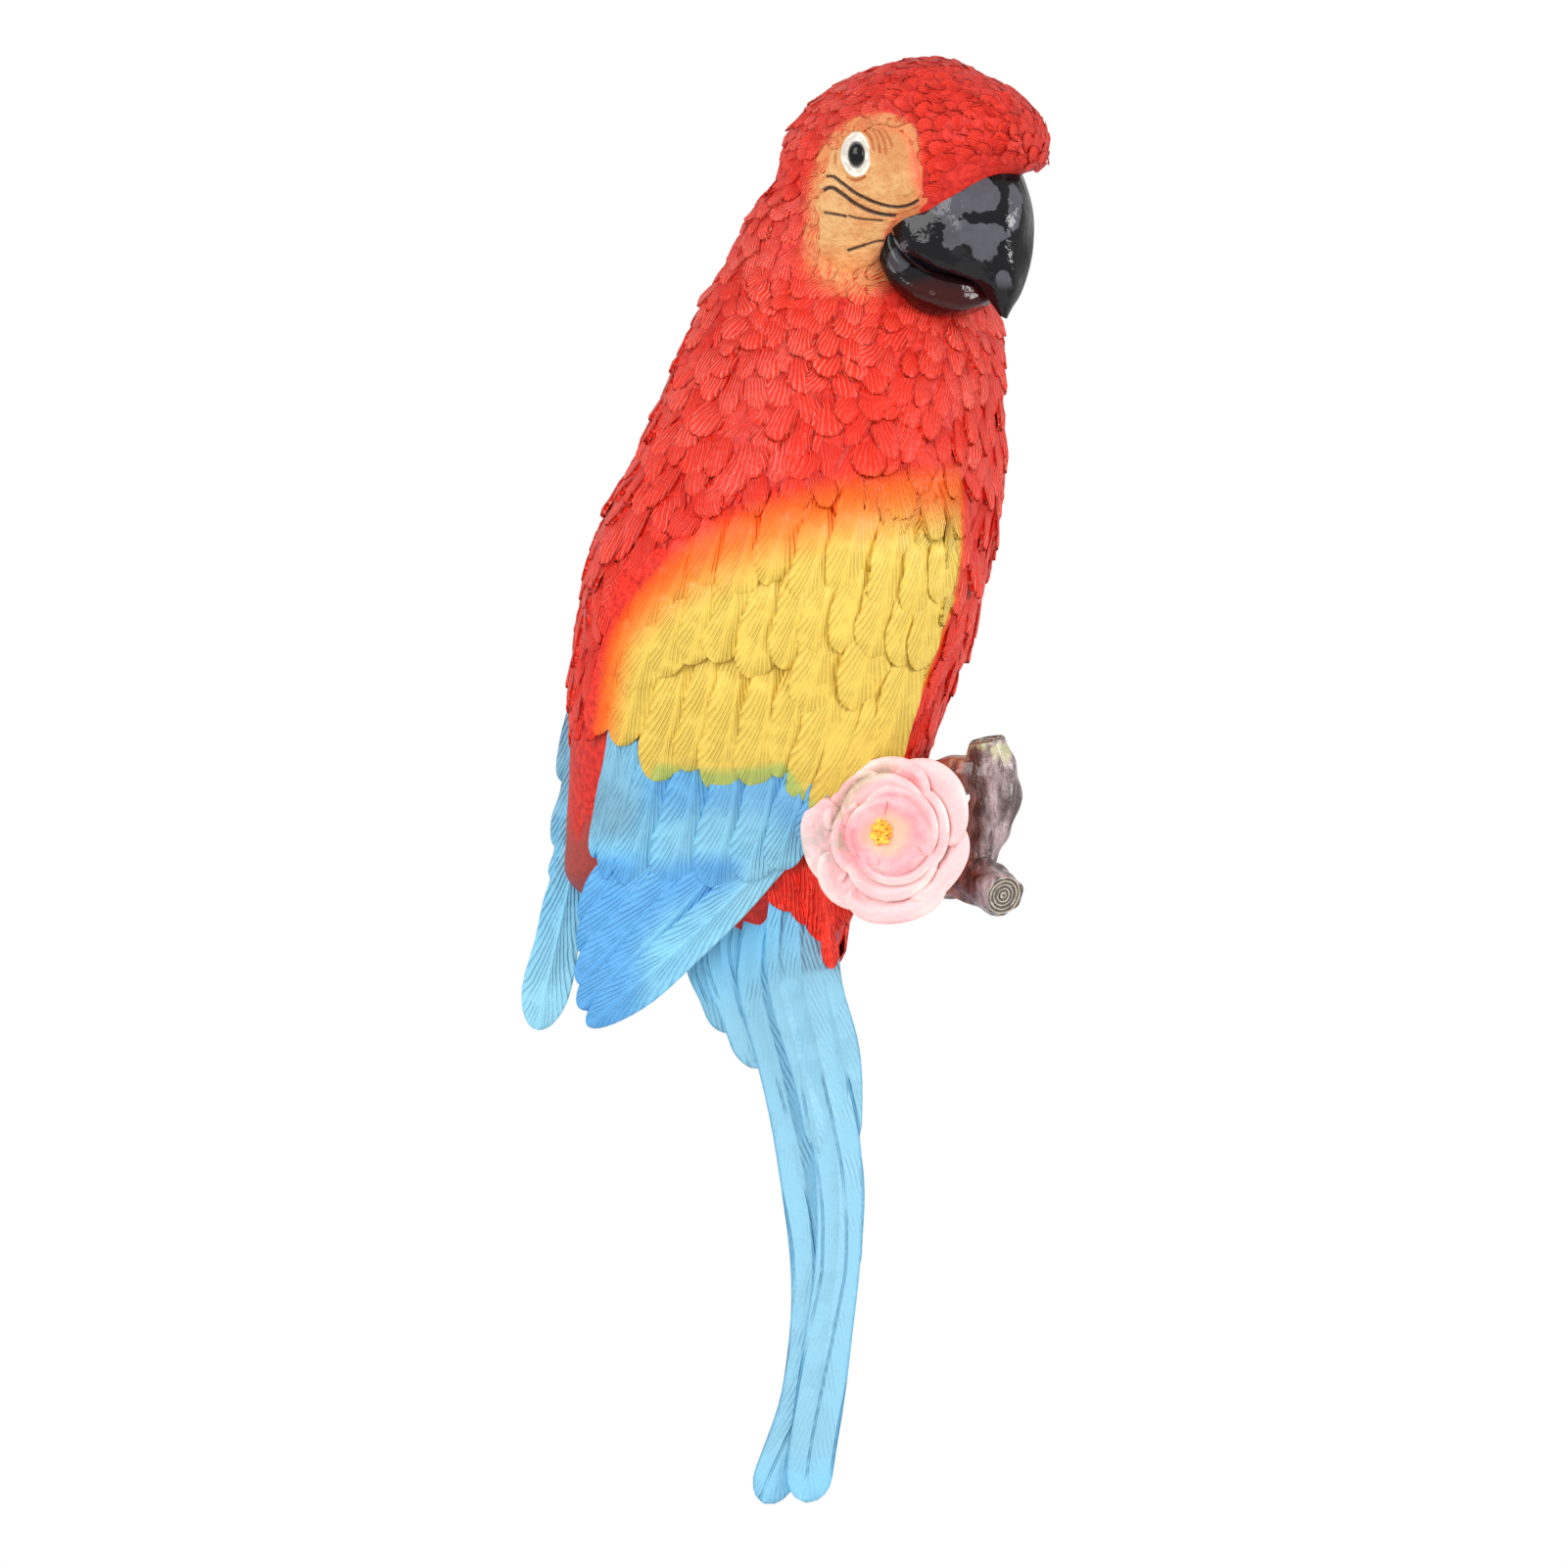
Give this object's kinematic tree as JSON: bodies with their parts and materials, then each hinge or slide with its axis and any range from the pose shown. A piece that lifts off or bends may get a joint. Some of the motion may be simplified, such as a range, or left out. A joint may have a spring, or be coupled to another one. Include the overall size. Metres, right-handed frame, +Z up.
{
  "type": "parrot figurine",
  "caption": "Wall ornament cast in one piece: a long-tailed parrot clinging to a branch stub behind an open flower, with a flat back and a blind hanging hole.",
  "frame": {"origin": "on the flat back, behind the middle of the bird's body", "axes": "+Z up along the body, +X to the right as seen from the front, +Y into the wall, so that the relief is on the -Y side"},
  "size_m": [0.1102, 0.0688, 0.3053],
  "materials": {
    "painted_resin": "hand painted resin under a satin varnish: red body, yellow and blue wing, light blue tail, black beak, pink flower, brown branch"
  },
  "bodies": {
    "root": {"parrot_casting": "painted_resin"}
  },
  "joints": []
}
